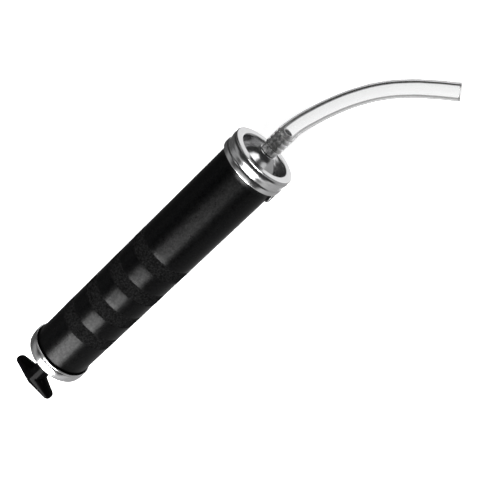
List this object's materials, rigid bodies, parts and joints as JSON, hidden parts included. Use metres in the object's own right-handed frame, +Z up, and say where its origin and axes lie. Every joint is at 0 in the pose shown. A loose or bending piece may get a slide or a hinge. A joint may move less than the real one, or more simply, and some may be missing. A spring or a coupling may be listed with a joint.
{
  "type": "oil suction gun",
  "caption": "Hand pump barrel with a T-handled plunger, knurled grip rings, a screw-on cap with a barbed nozzle and a short clear hose.",
  "frame": {"origin": "centre of the bottom of the box round the gun without its hose, on the surface it lies on", "axes": "+X along the barrel towards the nozzle, +Z up, +Y across the barrel"},
  "size_m": [0.487, 0.1079, 0.062],
  "materials": {
    "black_coating": "fine-textured satin powder coat on steel",
    "plated_steel": "semi-polished plating on pressed steel",
    "zinc": "turned, dull grey",
    "steel": "plain zinc-plated hardware",
    "black_plastic": "glossy moulded plastic",
    "nylon": "natural nylon",
    "rubber": "matt nitrile rubber",
    "brass": "turned brass",
    "clear_vinyl": "clear flexible vinyl"
  },
  "bodies": {
    "barrel": {"barrel_tube": "black_coating", "rear_cap": "plated_steel", "rod_guide_bush": "nylon", "rod_wiper_ring": "rubber", "bush_retaining_ring": "steel"},
    "cap_gasket": {"front_cap_gasket": "rubber"},
    "front_cap": {"front_cap": "plated_steel", "nozzle": "zinc", "nozzle_washer": "rubber", "nozzle_lock_washer": "steel", "nozzle_nut": "steel", "hose": "clear_vinyl"},
    "piston_seals": {"front_cup_seal": "rubber", "rear_cup_seal": "rubber"},
    "plunger": {"plunger_rod": "plated_steel", "piston_core": "zinc", "piston_front_plate": "steel", "piston_rear_plate": "steel", "piston_lock_washer": "steel", "piston_front_nut": "steel", "piston_rear_nut": "steel", "t_handle": "black_plastic", "handle_insert": "brass"}
  },
  "joints": [
    {"name": "plunger_slide", "type": "slide", "parent": "barrel", "child": "piston_seals", "axis": [-1, 0, 0], "range_m": [0, 0.24]},
    {"name": "handle_spin", "type": "hinge", "parent": "piston_seals", "child": "plunger", "pos_m": [-0.171, 0, 0.031], "axis": [1, 0, 0], "continuous": true},
    {"name": "cap_travel", "type": "slide", "parent": "barrel", "child": "cap_gasket", "axis": [1, 0, 0], "range_m": [0, 0.012]},
    {"name": "cap_unscrew", "type": "hinge", "parent": "cap_gasket", "child": "front_cap", "pos_m": [0.136, 0, 0.031], "axis": [1, 0, 0], "range_deg": [0, 1080]}
  ],
  "couplings": [
    {"joint": "cap_travel", "follows": "cap_unscrew", "m_per_rad": 0.00063662}
  ]
}
